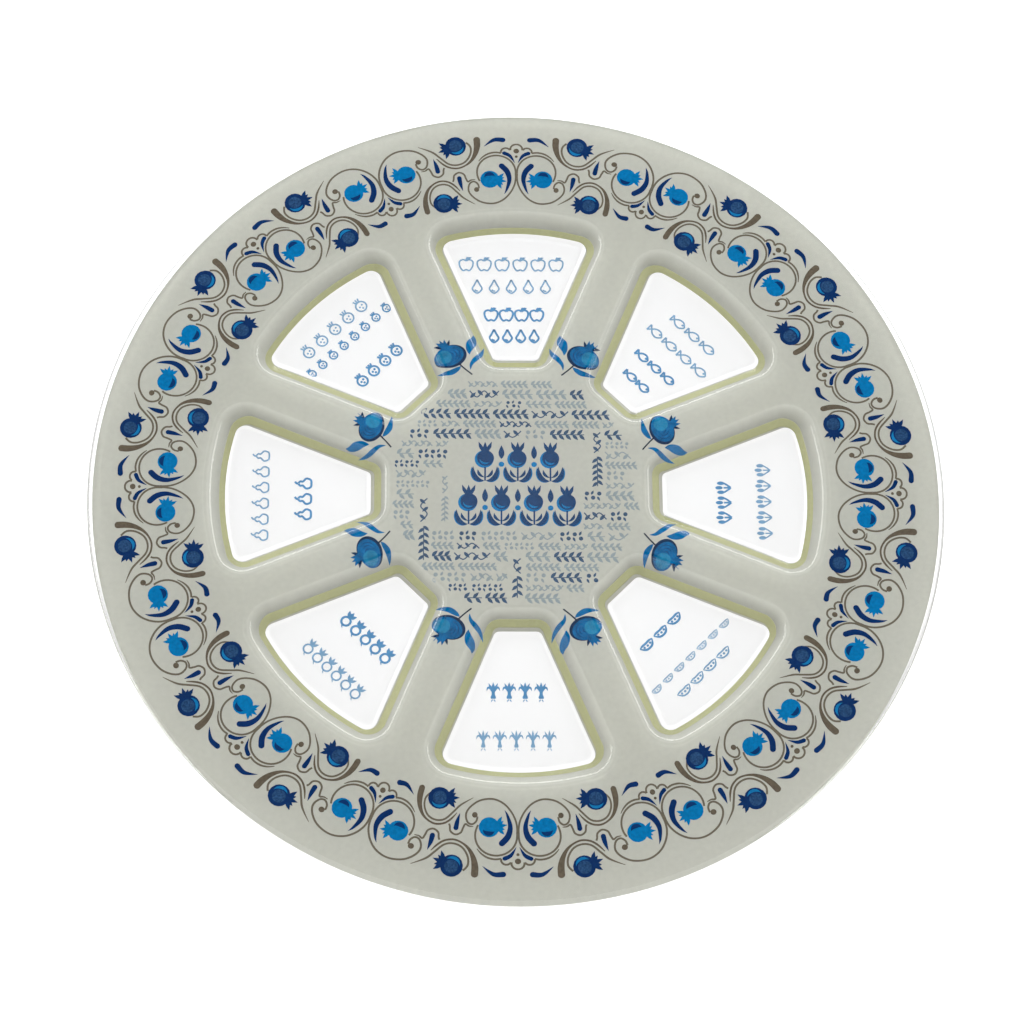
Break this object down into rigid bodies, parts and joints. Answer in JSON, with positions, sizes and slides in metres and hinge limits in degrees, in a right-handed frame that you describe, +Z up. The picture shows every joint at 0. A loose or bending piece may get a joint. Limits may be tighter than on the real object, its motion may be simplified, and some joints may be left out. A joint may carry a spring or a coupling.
{
  "type": "rosh hashanah plate",
  "caption": "Round glass serving plate with keystone wells set around a hub, backed by a silver-grey coat that leaves each well floor clear; holds small portions of symbolic foods.",
  "frame": {"origin": "below the plate's centre, on the surface it stands on", "axes": "+Z up through the sheet, +Y towards the middle of well 1, wells numbered clockwise from above"},
  "size_m": [0.35, 0.35, 0.0095],
  "materials": {
    "clear_glass": "clear tempered glass, polished faces, rounded edge",
    "silver_enamel": "fired silver-grey enamel, faint metallic speckle, satin",
    "olive_enamel": "fired olive-gold enamel, satin",
    "blue_ink": "fired blue ink in three shades, seen through the glass",
    "taupe_ink": "fired taupe ink, fine scroll lines",
    "label_ink": "thin pale-blue ink on the clear floors"
  },
  "bodies": {
    "root": {"glass_plate": "clear_glass", "silver_coat": "silver_enamel", "window_border_1": "olive_enamel", "window_border_2": "olive_enamel", "window_border_3": "olive_enamel", "window_border_4": "olive_enamel", "window_border_5": "olive_enamel", "window_border_6": "olive_enamel", "window_border_7": "olive_enamel", "window_border_8": "olive_enamel"}
  },
  "joints": []
}
